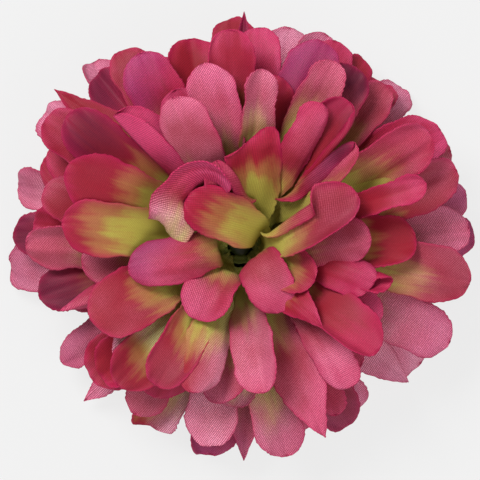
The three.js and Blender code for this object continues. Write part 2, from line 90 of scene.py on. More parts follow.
# A petal is named by where its tip is (at: bearing in degrees, reach: mm from the
# axis) or where its root is (root: bearing). Its pressed shape, in degrees if not in mm:
#   wide      width, mm
#   lift      how many sheets higher its slope would belong
#   slope     slopes of its own, as in SHEETS
#   bends     from the hub to the tip: distance in mm, slope, turn to the left and tilt
#   cup       turn of the cloth from the middle to each edge; curled: the same, where
#             the cloth has sprung further than the solid
#   roll      tilt to one side; lean: turn to the left at the tip; curl: rise of the tip
#   tip       round, square or a point; skew: how far the tip's left side is cut forward
#   fold      an edge folded over: side (1 left), from and up to which share of the
#             length, at which share of the half width, by how much
#   creases   of each: share of the half width, turn, from which share of the length
#   rims      spread of the turn of the cut edges
# Its dye is one of DYES, rose if none is named, with any values of its own. thin_and_sheen_to is
# how far along it is faded and painted with pale sheen, and uneven above 0 is a spray that
# came from its left.
PETALS = [
    [  # sheet 1, the lowest
        dict(at=2, reach=56.3, wide=11, dye="mauve", plum=0.4),
        dict(at=44, reach=54.5, wide=11, dye="faded"),
        dict(at=67, reach=54.5, dye="faded"),
        dict(at=77, reach=53.5, wide=11, dye="faded", plum=0.15, faded=0.5),
        dict(at=103, reach=49),
        dict(at=128.5, reach=56.5, dye="faded"),
        dict(at=146, reach=57, wide=11.5, dye="faded"),
        dict(at=165, reach=55.5, wide=10, dye="faded", deep=0.4, plum=0.28, faded=0.45),
        dict(at=185, reach=55.5, wide=14, dye="faded", plum=0.3, faded=0.5),
        dict(at=205, reach=40),
        dict(at=225, reach=53, wide=10, tip="point", dye="faded"),
        dict(at=244, reach=46),
        dict(at=262, reach=51, dye="mauve"),
        dict(at=286, reach=47),
        dict(at=306, reach=48.5, wide=10, dye="faded"),
        dict(at=327, reach=52, dye="faded", olive=0.25, violet=0.1, faded=0.8),
        dict(at=350, reach=50, wide=12, dye="faded"),
    ],
    [  # sheet 2
        dict(at=12.5, reach=55.3, wide=11, dye="mauve", faded=0.4),
        dict(at=24, reach=55, wide=10, dye="crimson"),
        dict(at=48, reach=51.8, dye="crimson"),
        dict(at=56, reach=53, wide=9, dye="crimson"),
        dict(at=65, reach=53.5),
        dict(at=92, reach=54.3, wide=11, dye="crimson"),
        dict(at=112, reach=48),
        dict(at=130, reach=53, dye="plum"),
        dict(at=157, reach=51, dye="crimson"),
        dict(at=177, reach=54, wide=10, dye="plum"),
        dict(at=196, reach=43),
        dict(at=213, reach=51, wide=9, cup=40, creases=[[0, -75, 0.15]], dye="mauve", plum=0.3,
             violet=0.2, faded=0.3),
        dict(at=243.5, reach=48.3, wide=12, tip="square", olive=0.75, violet=0, faded=0.85, uneven=1),
        dict(at=271, reach=51.5, wide=9, tip="point", dye="mauve", plum=0.1, violet=0.4, faded=0.45),
        dict(at=301, reach=50.2, dye="plum", plum=0.45),
        dict(at=321, reach=52, tip="point", dye="mauve", olive=0.3, plum=0, violet=0.25, faded=0.85),
        dict(at=338, reach=50),
    ],
    [  # sheet 3
        dict(at=4.5, reach=54, wide=13, creases=[[0.25, -35, 0.35], [-0.3, 30, 0.4]], olive=0.5, deep=0.1,
             faded=0.5),
        dict(at=30, reach=54.3),
        dict(at=47, reach=50.8, wide=9.5, lean=0, dye="crimson", deep=0.6),
        dict(at=89, reach=55, wide=7, tip="point", dye="plum"),
        dict(at=104, reach=50, wide=14, dye="crimson"),
        dict(at=122, reach=53.6, wide=11, dye="crimson"),
        dict(at=140, reach=57, wide=10, tip="point", dye="crimson"),
        dict(at=153, reach=50, dye="crimson"),
        dict(at=174, reach=49, dye="crimson"),
        dict(at=194, reach=48.7, wide=11, dye="plum"),
        dict(at=223, reach=47, wide=15, dye="crimson"),
        dict(at=238, reach=47, wide=10, dye="crimson", deep=0.7, faded=0.25),
        dict(at=261, reach=48.2, wide=12.4, deep=0.1, violet=0, faded=0.7),
        dict(at=282.5, reach=50.8, wide=12, dye="faded", olive=0.6, faded=0.55),
        dict(at=299, reach=46, wide=9),
        dict(at=335.3, reach=54.3, wide=13, dye="faded", olive=0.5, plum=0.2, violet=0.2, faded=0.55),
    ],
    [  # sheet 4
        dict(at=19, reach=53.3, creases=[[0.3, 30, 0.3], [-0.3, -30, 0.3]], olive=0.6, deep=0.7),
        dict(at=57, reach=49.4, wide=12, lift=0, dye="plum", deep=1.2, plum=1.3, violet=0.1),
        dict(at=68, reach=51.2, wide=13, dye="mauve"),
        dict(at=85, reach=51, wide=11),
        dict(at=118, reach=50.4, wide=13, dye="mauve", deep=0.1, plum=0.15),
        dict(at=147, reach=54, dye="crimson"),
        dict(at=164, reach=47.5, dye="crimson"),
        dict(at=180, reach=50, creases=[[0.2, -30, 0.3], [-0.3, 30, 0.4]], dye="crimson", deep=0.6,
             faded=0.2),
        dict(at=200, reach=44.6, tip="point", creases=[[0, -45, 0.3]], dye="crimson", deep=0.3,
             faded=0.25),
        dict(at=224, reach=45, dye="crimson"),
        dict(at=240, reach=41),
        dict(at=268, reach=38, dye="faded", olive=0.8),
        dict(at=294, reach=49, wide=14, tip="point", olive=0.3, deep=0.6, faded=0.1),
        dict(at=314, reach=40, wide=10),
        dict(at=351.3, reach=54.3, wide=13.7, olive=0.62, deep=0.9, plum=0.12, faded=0),
    ],
    [  # sheet 5
        dict(at=2, reach=40.8, wide=13, dye="crimson", olive=0.62),
        dict(at=25, reach=47, wide=9, olive=0.7),
        dict(at=30, reach=50.8, wide=13, lean=5,
             creases=[[-0.45, 34, 0.3], [-0.05, -38, 0.25], [0.35, 34, 0.3]], olive=0.68, deep=0.2,
             faded=0.15),
        dict(at=62.6, reach=47.8, wide=9.6, dye="blush", olive=0.64),
        dict(at=78.4, reach=40.2, dye="crimson", olive=0.5),
        dict(at=93, reach=49.5, wide=12),
        dict(at=112, reach=39, lift=0.15),
        # this petal lies in shade: its extra deep red and plum are painted shade as well as dye
        dict(at=143.3, reach=49.8, wide=12, dye="crimson", olive=0.48, deep=1.5, plum=0.85, violet=0,
             faded=-0.1, soak=1.2),
        dict(at=186, reach=37, olive=0.6, faded=0.32),
        dict(at=222, reach=39, wide=10, dye="faded", olive=0.85, faded=0.9),
        dict(at=229, reach=43, dye="crimson", olive=0.7, plum=0.3, faded=0.9, thin_and_sheen_to=0.66),
        dict(at=263, reach=37, wide=12, dye="faded", olive=0.6, deep=0.5, faded=0.3),
        dict(at=307.2, reach=41.5, wide=9.5, lean=-20, dye="blush", olive=0.25, deep=0.4, faded=0.3),
        dict(at=330, reach=37),
    ],
    [  # sheet 6
        dict(at=18.5, reach=44.6, wide=6.5, roll=0, lean=0, olive=0.35, deep=0.9, faded=0.1),
        dict(at=52, reach=41.2, wide=14, cup=45, curled=60, fold=[-1, 0.3, 1.1, 0.72, 140], dye="crimson",
             olive=0.38, deep=1.6, plum=0.5, faded=-0.2, soak=0.6),
        dict(at=83, reach=40.6, wide=8.3, dye="blush", olive=0.66, faded=0.35),
        dict(at=101, reach=42.4, wide=11.5, dye="blush", olive=0.5, faded=0.3),
        dict(at=134, reach=41.5, wide=15.5, lift=-0.1, roll=0, cup=10, fold=[1, 0.15, 1.3, 0.12, 150],
             olive=0.25, deep=0.2),
        # this petal lies in shade: its extra deep red and plum are painted shade as well as dye
        dict(at=158, reach=43.2, wide=14, rims=5, dye="crimson", olive=0.6, deep=1.6, plum=0.2,
             faded=-0.2, soak=1.2),
        dict(at=173, reach=41, wide=13, olive=0.72, deep=1.3, faded=-0.2, soak=1),
        dict(at=206.5, reach=38.3, wide=15, dye="crimson", olive=0.52, deep=0.95, faded=0.05),
        dict(at=239, reach=37.7, wide=12.3, roll=-8, curled=55, dye="crimson", olive=0.6, plum=0.35,
             soak=1),
        dict(at=323.3, reach=39.9, wide=12.5, roll=-7, dye="crimson", olive=0.36, deep=1.2, plum=0.2,
             faded=0),
        dict(at=346.6, reach=36.2, wide=12.5, lift=-1, roll=0, cup=45, curled=110, lean=0, curl=30,
             dye="crimson", olive=0.3),
    ],
    [  # sheet 7
        dict(at=42, reach=35, wide=11, cup=50, fold=[1, 0.3, 1.2, 0.35, 150], dye="mauve", olive=0.56,
             plum=0.9, violet=0.45, faded=0, uneven=1.5, soak=0.9),
        dict(at=60, reach=37.2, wide=8.2, lift=-0.3, roll=-5, dye="crimson", olive=0.4, deep=0.6,
             faded=0.1, soak=0.8),
        dict(at=114, reach=36.8, wide=12.8, olive=0.42, faded=0.22),
        dict(at=252.5, reach=35.5, wide=12.5, roll=-6, slope=[57, 44, 4], creases=[[-0.35, -26, 0.35]],
             olive=0.62, deep=0.8, plum=0.1, faded=0.3, uneven=1),
        dict(at=279, reach=34.3, wide=11.5, slope=[57, 45, 4], olive=0.32, deep=0.4, faded=0.4),
        dict(at=344, reach=32.1, wide=11, roll=0, curled=-70, lean=-15, slope=[66, 46, -8], dye="blush",
             olive=0.3, deep=0.8, plum=0.15, faded=0.1),
    ],
    [  # sheet 8, the heart
        dict(at=3, reach=30, wide=13, slope=[70, 45, 4], dye="crimson", deep=0.4, faded=0.4),
        dict(root=0, wide=14, cup=15,
             bends=[[2, 86, 0, 0], [8, 76, 12, 0], [18, 52, 28, 0], [30, 28, 32, 0], [41, 0, 32, 0]],
             fold=[1, 0.22, 0.85, 0.55, 165], dye="crimson", olive=0.48, deep=1, plum=0.2, violet=0.05,
             soak=0.8),
        dict(root=62, wide=14, cup=30,
             bends=[[2, 80, 0, 0], [5, 58, 10, 0], [18, 46, 34, 0], [28, 38, 35, 0], [32, -5, 35, 0]],
             tip="square", skew=-0.75, dye="crimson", olive=0.72, soak=0.9),
        dict(root=88, wide=12,
             bends=[[2, 78, 0, 0], [5, 70, 10, 0], [16, 62, 24, 0], [24, 44, 30, 0], [30, -8, 30, 0]],
             fold=[-1, 0.45, 1.3, 0.5, 150], dye="crimson", olive=0.56, soak=1.5),
        dict(root=22, wide=12, cup=20,
             bends=[[2, 88, 0, 0], [4, 86, 10, 0], [9, 80, 120, 0], [15, 48, 133, 0], [25, 31, 133, 0],
                    [31.5, 12, 133, 0], [34.5, -8, 133, 0]],
             dye="crimson", olive=0.72, soak=1.6),
        dict(root=165, wide=12.5, curled=24,
             bends=[[2, 76, 0, 0], [5, 44, 0, 0], [15.5, 44, 3, 0], [21.5, 86, 42, 0], [26.5, 135, 88, 0],
                    [30.5, 165, 96, 0], [34.5, 178, 64, 40], [47.5, 194, -36, 70]],
             dye="faded", olive=0.56, faded=0.6, thin_and_sheen_to=0.62),
        dict(root=192, wide=12.8, cup=-20,
             bends=[[2, 88, 0, 0], [13, 92, 0, 0], [17, 45, 0, 0], [24, 7, 0, 0], [38, -9, 0, 0]],
             olive=0.45, deep=0.5, plum=0.38, violet=0.65),
        dict(root=228, wide=13.5,
             bends=[[2, 70, 0, 0], [4, 70, 10, 0], [10, 86, 15, 0], [15.5, 44, 20, 0], [20.5, 10, 20, 0],
                    [22.5, -6, 20, 0], [27, -16, 18, 0]],
             dye="blush", olive=0.42, deep=0.15, violet=0.12, faded=0.08, soak=0.8),
        dict(root=318, wide=12, cup=-8,
             bends=[[2, 88, 0, 0], [13, 96, -8, 0], [17, 50, -20, 0], [22, 5, -24, 0], [31, -30, -26, 0]],
             dye="blush", olive=0.36, deep=1, violet=0.15, soak=1),
        dict(root=340, wide=12, cup=45,
             bends=[[2, 84, 0, 0], [7, 70, -4, 0], [14, 50, -9, 0], [21, 34, -11, 0], [26, 22, -11, 0]],
             dye="crimson", olive=0.7, soak=1),
        dict(at=315, reach=27, wide=9, slope=[76, 46, 6], tip="point"),
    ],
]

# How each dye lot was sprayed: where the olive root ends, how deep the red is, how
# much plum and violet is on the tip, how faded the cloth is, and how far the dye has
# soaked in from the cut edge, in mm. The rest are shares of a petal's length or of
# full strength; faded below 0 also holds back the cloth's own pale patches. The faded
# share is also painted satin sheen and painted light, and on a few petals in shade the
# deep and plum shares are also painted shade.
DYES = {
    "rose": dict(olive=0.52, deep=0.45, plum=0, violet=0.08, faded=0, soak=0.35),
    # blush: light pink that also paints satin sheen where a petal is lit
    "blush": dict(olive=0.48, deep=0.05, plum=0, violet=0.1, faded=0.25, soak=0.4),
    "crimson": dict(olive=0.55, deep=1, plum=0.05, violet=0, faded=0, soak=0.5),
    "mauve": dict(olive=0.5, deep=0.3, plum=0.25, violet=0.6, faded=0, soak=0.35),
    "plum": dict(olive=0.5, deep=0.7, plum=0.85, violet=0.2, faded=0, soak=0.4),
    "faded": dict(olive=0.45, deep=0.1, plum=0.05, violet=0.2, faded=0.65, soak=0.4),
}
NOWHERE_THIN = 2  # a place beyond the tip
# the faded share among these also holds painted sheen and light, and the deep and plum shares painted
# shade
SPRAYED = ("dye_place", "dye_deep", "dye_plum", "dye_violet", "dye_faded", "dye_rim")
OLIVE_END = 0.36  # the olive's end on the dye's scale from root to tip
FULLEST = 3  # most that any share of dye may be

# ------------------ the cut and the cloth's relief

LINE_STEPS = 60  # that a petal's middle line is summed in
ROWS_ALONG = 72  # rings of points from root to tip
POINTS_ACROSS = 21
STEPS_ACROSS = 161  # finer steps that a petal's cross-section is summed in
TIP_CROWDING = 1.35  # above 1, rings lie closer near the tip
EDGE_CROWDING = 1.2  # above 1, points lie closer near the edges
TURNED_SIDES = 96  # of a hub or a moulded piece

# The cut's half width as a share of its greatest, by share of the length.
SWELL_AT = (0, 0.12, 0.22, 0.33, 0.45, 0.56, 0.68, 0.76, 1)
SWELL = (0.30, 0.34, 0.42, 0.56, 0.74, 0.89, 0.985, 1, 1)
# Each tip: where it starts, and the inner and outer power of its outline. A round
# one starts this share of the petal's width before the end.
POINTED_TIP = (0.62, 1.5, 1.0)
SQUARE_TIP = (0.9, 5.0, 0.5)
ROUND_TIP = (0.56, 2.1, 0.5)

RIM_SPREAD = 20  # usual spread of the turn of a cut edge, degrees
RIM_START, RIM_SPAN = 0.66, 0.34  # the part of the half width that turns with the edge
RIM_SHARE, RIM_LEAST = 0.17, 0.2  # its breadth: share of the half width, and mm
CREASE_COUNT = 3  # creases from handling, besides a petal's own
CREASE_SPREAD = 17  # degrees
CREASE_AT = 0.72  # farthest out, as a share of the half width
CREASE_STARTS = (0.2, 0.5)  # earliest and latest start, shares of the length
CREASE_WIDTHS = (0.30, 0.25)  # narrowest, and how much wider at most, mm
CREASE_GROWS = 0.25  # share of the length in which a crease deepens
FOLD_WIDTH = 0.35
FOLD_GROWS, FOLD_ENDS = 0.3, 0.12
BELL_AREA = 1.77  # area under a bell curve of unit width and height

# The two edges' long and short swings: length in mm and number of the phase of each.
EDGE_SWINGS = ((2.9, 6, 1.3, 7), (2.6, 5, 1.2, 4))
LONG_SWING, SHORT_SWING = 0.22, 0.16
EDGE_FADES = 2.5  # half width below which the cut edge gets straighter, mm
EDGE_START, EDGE_SPAN = 0.7, 0.3
# Soft waves: share of the full height, and their lengths along and across, mm.
WAVES = ((0.55, 5.2, 4.1), (0.40, 2.6, -2.9), (0.20, 13, 1.1))
VEIN_SWAY, VEIN_SWING, VEIN_WIDTH = 0.3, 9, 0.5
RUFFLE = 0.8  # height as a share of the waves'
RUFFLE_PITCH = 1.7
RUFFLE_START, RUFFLE_GROWS = 0.78, 0.2
RUFFLE_EDGE, RUFFLE_WIDENS = 0.3, 0.5
SKEW_SPREAD = 0.10


def settings(name):
    return getattr(bpy.context.scene, name)


# ------------------ small tools

def smooth(t):
    t = np.clip(t, 0.0, 1.0)
    return t * t * (3 - 2 * t)


def drawer(seed):
    """A repeatable draw from -1 to 1."""
    state = seed

    def draw():
        nonlocal state
        state = (state * 1664525 + 1013904223) & 0xFFFFFFFF
        return state / 2 ** 31 - 1

    return draw


def between(index):
    """The slopes at a place between two sheets, given by a fractional index."""
    low = min(max(math.floor(index), 0), len(SHEETS) - 2)
    part = index - low
    pairs = zip(SHEETS[low]["slope"], SHEETS[low + 1]["slope"])
    return [a + (b - a) * part for a, b in pairs]


def mesh_object(name, points, faces):
    mesh = bpy.data.meshes.new(name)
    mesh.from_pydata([tuple(p) for p in points], [], faces)
    mesh.polygons.foreach_set("use_smooth", [True] * len(mesh.polygons))
    mesh.update()
    piece = bpy.data.objects.new(name, mesh)
    bpy.context.scene.collection.objects.link(piece)
    return piece


def circle():
    return np.arange(TURNED_SIDES) * 2 * math.pi / TURNED_SIDES


def ring_wall(lower, upper):
    """Quads between two rings of points, given by each ring's number."""
    low, high = lower * TURNED_SIDES, upper * TURNED_SIDES
    sides = [(i, (i + 1) % TURNED_SIDES) for i in range(TURNED_SIDES)]
    return [[low + i, low + j, high + j, high + i] for i, j in sides]


# ------------------ petal shapes

def grown_at(s, length):
    """How far a petal has taken up its own roll and cup, from 0 at the hub to 1."""
    return smooth(s / (FULL_PRESS * length))


def bends_at(form, s, length):
    """Slope, turn and tilt in radians at distances from the hub."""
    s = np.maximum(s, 0)
    if form["bends"]:
        knots = np.array(form["bends"], float)
        low = np.clip(np.searchsorted(knots[:, 0], s, side="left") - 1, 0, len(knots) - 2)
        a, b = knots[low], knots[low + 1]
        part = smooth((s - a[:, 0]) / (b[:, 0] - a[:, 0]))[:, None]
        return np.radians(a + (b - a) * part)[:, 1:].T
    slope = form["slope"]
    knots = [0, ROOT_BEND, MID_PETAL * length, length]
    pitch = np.interp(s, knots, [0, slope[0], slope[1], slope[2] + form["curl"]])
    return np.radians([
        pitch, form["lean"] * smooth(s / length), form["roll"] * grown_at(s, length)])


def mid_line(form, length):
    """Distances from the hub, bends and places from root to tip, in mm and radians."""
    run = length + ROOT_SINK
    s = np.arange(LINE_STEPS + 1) / LINE_STEPS * run - ROOT_SINK
    bends = bends_at(form, s, length)
    pitch, heading, _ = bends
    moves = run / LINE_STEPS * np.stack([
        np.cos(pitch) * np.cos(heading), np.cos(pitch) * np.sin(heading), np.sin(pitch)
    ], axis=1)
    start = np.array([[form["hub"] - ROOT_SINK, 0, 0]])
    places = np.concatenate([start, start + np.cumsum(moves[:-1], axis=0)])
    return s, bends, places


def length_for(form, reach):
    """The length that brings the tip to the stated distance from the axis."""
    short, long = SHORTEST, LONGEST
    for _ in range(24):
        length = (short + long) / 2
        tip = mid_line(form, length)[2][-1]
        if math.hypot(tip[0], tip[1]) < reach:
            short = length
        else:
            long = length
    return (short + long) / 2


def half_width(u, form):
    """Share of the half width from root 0 to tip 1, and how far into the tip each place is."""
    if form["tip"] == "point":
        start, inner, outer = POINTED_TIP
    elif form["tip"] == "square":
        start, inner, outer = SQUARE_TIP
    else:
        share, inner, outer = ROUND_TIP
        start = 1 - share * form["wide"] / form["length"]
    t = np.clip((u - start) / (1 - start), 0, 1)
    return np.interp(u, SWELL_AT, SWELL) * (1 - t ** inner) ** outer, t


def crease_turn(x, centre, width, angle):
    """Turning that a crease along a petal adds across it, in radians a mm."""
    away = (x - centre) / width
    return angle * np.exp(-away ** 2) / (width * BELL_AREA)


def cross_section(form, half, bend, grown, u, rng):
    """Sideways and upward place of the cloth across each row, from its centre out.

    The cloth's turning is summed from the centre to each edge, so that a crease, a
    rolled rim and an edge folded right over are all the same kind of bend.
    """
    v = np.linspace(-1, 1, STEPS_ACROSS)[None, :]
    x = half[:, None] * v
    turning = bend[:, None] + 0 * x
    for side in (-1, 1):
        rim = math.radians(form.get("rims", RIM_SPREAD) * rng.normal())
        shape = smooth((side * v - RIM_START) / RIM_SPAN)
        turning = turning + rim * grown[:, None] * shape / (RIM_SHARE * half[:, None] + RIM_LEAST)
    creases = list(form.get("creases", []))
    for _ in range(CREASE_COUNT):
        creases.append((rng.uniform(-CREASE_AT, CREASE_AT), CREASE_SPREAD * rng.normal(),
                        rng.uniform(*CREASE_STARTS)))
    narrow, wider = CREASE_WIDTHS
    for place, angle, start in creases:
        width = narrow + wider * rng.random()
        deep = math.radians(angle) * smooth((u - start) / CREASE_GROWS)[:, None]
        turning = turning + crease_turn(x, place * half[:, None], width, deep)
    if "fold" in form:
        side, near, far, place, angle = form["fold"]
        open_part = smooth((u - near) / FOLD_GROWS) * smooth((far - u) / FOLD_ENDS)
        deep = math.radians(angle) * open_part[:, None]
        turning = turning + crease_turn(x, side * place * half[:, None], FOLD_WIDTH, deep)

    step = np.diff(x, axis=1)
    centre = STEPS_ACROSS // 2

    def summed(rate):
        total = np.concatenate([
            np.zeros((len(x), 1)), np.cumsum((rate[:, 1:] + rate[:, :-1]) / 2 * step, axis=1)
        ], axis=1)
        return total - total[:, centre:centre + 1]

    angle = summed(turning)
    return x, summed(np.cos(angle)), summed(np.sin(angle))


def petal_form(sheet, row, draw):
    """A petal's pressed shape: its own numbers, and those its press gives it."""
    def value(name, usual=0):
        return row[name] if name in row else usual + SPREAD[name] * draw()

    form = dict(wide=value("wide", PETAL_WIDTH), lift=value("lift"), roll=value("roll"),
                cup=value("cup", PETAL_CUP), lean=value("lean"), curl=value("curl"))
    form["hub"] = SHEETS[sheet]["hub"]
    form["slope"] = row.get("slope") or between(sheet + form["lift"])
    form["bends"] = [HUB_KNOT] + row["bends"] if "bends" in row else None
    form["tip"] = row.get("tip", "round")
    form["cup"] = row.get("curled", form["cup"])
    for extra in ("fold", "creases", "rims", "skew"):
        if extra in row:
            form[extra] = row[extra]
    form["length"] = form["bends"][-1][0] if form["bends"] else length_for(form, row["reach"])
    return form


def cut_places(half, v, s, fray, phase):
    """Sideways places in the flat cut, whose edge wanders a little and is frayed."""
    wander = np.array([
        LONG_SWING * np.sin(s / long + phase[a]) + SHORT_SWING * np.sin(s / short + phase[b])
        for long, a, short, b in EDGE_SWINGS])
    edge = (fray + wander) * smooth(half / EDGE_FADES)
    shift = np.where(v[None, :] < 0, -edge[0][:, None], edge[1][:, None])
    near_edge = smooth((np.abs(v) - EDGE_START) / EDGE_SPAN)[None, :]
    return half[:, None] * v[None, :] + shift * near_edge


def pressed_relief(cloth, x, u, v, s, phase):
    """Soft waves, the pressed middle vein and a ruffle at the tip, in mm."""
    wave = cloth.wave / MM
    down = s[:, None] + 0 * x
    relief = 0
    for (share, along, across), shift in zip(WAVES, phase):
        relief += wave * share * np.sin(down / along + x / across + shift)
    off_vein = (x - VEIN_SWAY * np.sin(down / VEIN_SWING + phase[3])) / VEIN_WIDTH
    relief -= cloth.vein / MM * np.exp(-off_vein ** 2)
    ruffle = (smooth((u - RUFFLE_START) / RUFFLE_GROWS)[:, None]
              * smooth((np.abs(v) - RUFFLE_EDGE) / RUFFLE_WIDENS)[None, :])
    return relief + wave * RUFFLE * ruffle * np.sin(x + down / RUFFLE_PITCH + phase[4])


def petal_axes(pitch, heading, tilt):
    """Directions ahead along a petal, to its left and out of its face."""
    cp, sp, ch, sh = np.cos(pitch), np.sin(pitch), np.cos(heading), np.sin(heading)
    ahead = np.stack([cp * ch, cp * sh, sp], axis=1)
    face = np.stack([-sp * ch, -sp * sh, cp], axis=1)
    side = np.stack([-sh, ch, np.zeros_like(ch)], axis=1)
    left = side * np.cos(tilt)[:, None] + face * np.sin(tilt)[:, None]
    out = face * np.cos(tilt)[:, None] - side * np.sin(tilt)[:, None]
    return ahead, left, out


def petal_grid(form, row, count, level, rng):
    """Mid-surface points of one petal, with its place in the flat cut."""
    cloth = settings("flower_cloth")
    length = form["length"]
    line, bends, places = mid_line(form, length)
    u = 1 - (1 - np.linspace(0, 1, ROWS_ALONG)) ** TIP_CROWDING
    s = u * (length + ROOT_SINK) - ROOT_SINK
    pitch, heading, tilt = (np.interp(s, line, bend) for bend in bends)
    place = np.stack([np.interp(s, line, places[:, k]) for k in range(3)], axis=1)

    wide = form["wide"]
    grown = grown_at(s, length)
    radius = np.hypot(place[:, 0], place[:, 1])
    room = math.pi * radius / count
    free = smooth(s / (HEART_ROOT_REACH if form["bends"] else ROOT_REACH))
    share, into_tip = half_width(u, form)
    half = np.minimum(share * wide / 2, room + (wide - room) * free)

    v = np.linspace(-1, 1, POINTS_ACROSS)
    v = np.sign(v) * (1 - (1 - np.abs(v)) ** EDGE_CROWDING)
    round_root = np.sin(pitch) / radius * (1 - grown)
    bend = round_root + np.radians(form["cup"]) * grown / (wide / 2)
    fine, over_fine, up_fine = cross_section(form, half, bend, grown, u, rng)

    fray = cloth.fray / MM * rng.normal(0, 1, (2, ROWS_ALONG))
    phase = rng.uniform(0, 2 * math.pi, 8)
    x = cut_places(half, v, s, fray, phase)
    over = np.empty_like(x)
    up = np.empty_like(x)
    for i in range(ROWS_ALONG):
        inside = np.clip(x[i], -half[i], half[i])
        over[i] = np.interp(inside, fine[i], over_fine[i]) + (x[i] - inside)
        up[i] = np.interp(inside, fine[i], up_fine[i])
    up = up + pressed_relief(cloth, x, u, v, s, phase) * grown[:, None]

    skew = form.get("skew", SKEW_SPREAD * rng.normal())
    slide = skew * x * into_tip[:, None] ** 2
    ahead, left, out = petal_axes(pitch, heading, tilt)
    middle = (place[:, None, :] + left[:, None, :] * over[:, :, None]
              + out[:, None, :] * up[:, :, None]
              + ahead[:, None, :] * slide[:, :, None])
    if form["bends"]:
        turn = math.radians(row["root"])
    else:
        turn = math.radians(row["at"]) - math.atan2(places[-1, 1], places[-1, 0])
    c, sn = math.cos(turn), math.sin(turn)
    spin = np.array([[c, sn, 0], [-sn, c, 0], [0, 0, 1]])
    middle = middle @ spin + np.array([0, 0, level])
    flat_r = form["hub"] + s[:, None] + slide
    flat = np.stack([flat_r * c - x * sn, flat_r * sn + x * c], axis=2)
    gap = np.minimum((1 - np.abs(v))[None, :] * half[:, None], (1 - u)[:, None] * length)
    return dict(middle=middle, u=u, v=v, x=x, s=s, flat=flat, half=half, gap=gap)


def grid_normals(grid):
    along = np.gradient(grid, axis=0)
    across = np.gradient(grid, axis=1)
    normal = np.cross(along, across)
    return normal / np.maximum(np.linalg.norm(normal, axis=2, keepdims=True), 1e-9)


def blade_faces(rows, wide, start):
    """Quads of a closed blade: upper and lower grids and the rim between them."""
    def index(i, j, lower):
        return start + lower * rows * wide + i * wide + j

    faces = []
    for i in range(rows - 1):
        for j in range(wide - 1):
            a, b, c, d = (i, j), (i + 1, j), (i + 1, j + 1), (i, j + 1)
            faces.append([index(*p, 0) for p in (a, b, c, d)])
            faces.append([index(*p, 1) for p in (a, d, c, b)])
    rim = [(0, j) for j in range(wide - 1)] + [(i, wide - 1) for i in range(rows - 1)]
    rim += [(rows - 1, j) for j in range(wide - 1, 0, -1)] + [(i, 0) for i in range(rows - 1, 0, -1)]
    for a, b in zip(rim, rim[1:] + rim[:1]):
        faces.append([index(*a, 0), index(*b, 0), index(*b, 1), index(*a, 1)])
    return faces


def flat_area(grid):
    """Area of one petal as it was cut, in square mm."""
    half, s = grid["half"], grid["s"]
    return float(np.sum((half[1:] + half[:-1]) * np.diff(s)))


def hub_ring(radius, level, thickness):
    """Points and faces of a flat ring with a hole for the peg."""
    turn = circle()
    points, faces = [], []
    for r, z in ((HUB_HOLE_RADIUS, -0.5), (radius, -0.5), (radius, 0.5), (HUB_HOLE_RADIUS, 0.5)):
        height = np.full(TURNED_SIDES, level + z * thickness)
        points.append(np.stack([r * np.cos(turn), r * np.sin(turn), height], axis=1))
    for k in range(4):
        faces += ring_wall(k, (k + 1) % 4)
    return np.concatenate(points), faces


def dye_of(grid, row, rng):
    """How a petal was sprayed, at each of its points; the faded share also holds painted sheen and light,
    and the deep and plum shares painted shade on a few petals.
    """
    look = {**DYES[row.get("dye", "rose")], **row}
    u = grid["u"][:, None] + 0 * grid["x"]
    v = grid["v"][None, :] + 0 * grid["x"]
    # the olive ends in a shallow arch, a little aslant, and sooner on the sprayed side
    uneven = row.get("uneven", 0)
    start = look["olive"] + 0.03 * rng.normal()
    arch, aslant, sooner = 0.10 * v ** 2, 0.05 * rng.normal() * v, 0.15 * uneven * v
    border = start - arch + aslant - sooner
    # the tip's spray begins past half length, and may come from one side
    late, slant = 0.15 * rng.random(), 0.1 * v * rng.normal()
    one_side = np.clip(0.5 + uneven * v, 0, 1.5) if uneven else 1
    tip = smooth((u - 0.5 - late - slant) / 0.4) * one_side
    thin_and_sheen_to = row.get("thin_and_sheen_to", NOWHERE_THIN)
    # the faded share is thin dye, and also painted satin sheen and painted light on some petals in shade
    thin_and_sheen = look["faded"] * one_side * (1 - smooth((u - thin_and_sheen_to) / 0.12))
    return dict(
        dye_place=OLIVE_END + (u - border) * np.where(u < border, OLIVE_END / border, 1.0),
        dye_deep=look["deep"] + 0.15 * rng.normal() + 0 * u,
        dye_plum=look["plum"] * tip,
        dye_violet=look["violet"] * tip,
        dye_faded=thin_and_sheen + 0.08 * rng.normal(),
        dye_rim=0.7 * np.exp(-grid["gap"] / look["soak"]) * smooth((u - 0.35) / 0.25),
    )


# ------------------ materials

def node(tree, kind, **values):
    made = tree.nodes.new(kind)
    for name, value in values.items():
        if hasattr(made, name):
            setattr(made, name, value)
        else:
            made.inputs[name.replace("_", " ")].default_value = value
    return made


def ramp(tree, source, dye, stops):
    """Colours of the dye by place, from (place, name of the colour) pairs."""
    made = tree.nodes.new("ShaderNodeValToRGB")
    bar = made.color_ramp
    bar.interpolation = "EASE"
    while len(bar.elements) < len(stops):
        bar.elements.new(0.5)
    for element, (place, name) in zip(bar.elements, stops):
        element.position = place
        element.color = (*getattr(dye, name), 1)
    tree.links.new(source, made.inputs["Fac"])
    return made.outputs["Color"]


def maths(tree, operation, a, b):
    made = node(tree, "ShaderNodeMath", operation=operation)
    for socket, value in zip(made.inputs, (a, b)):
        if isinstance(value, (int, float)):
            socket.default_value = value
        else:
            tree.links.new(value, socket)
    return made.outputs[0]


def plus(tree, a, b):
    return maths(tree, "ADD", a, b)


def minus(tree, a, b):
    return maths(tree, "SUBTRACT", a, b)


def times(tree, a, b):
    return maths(tree, "MULTIPLY", a, b)


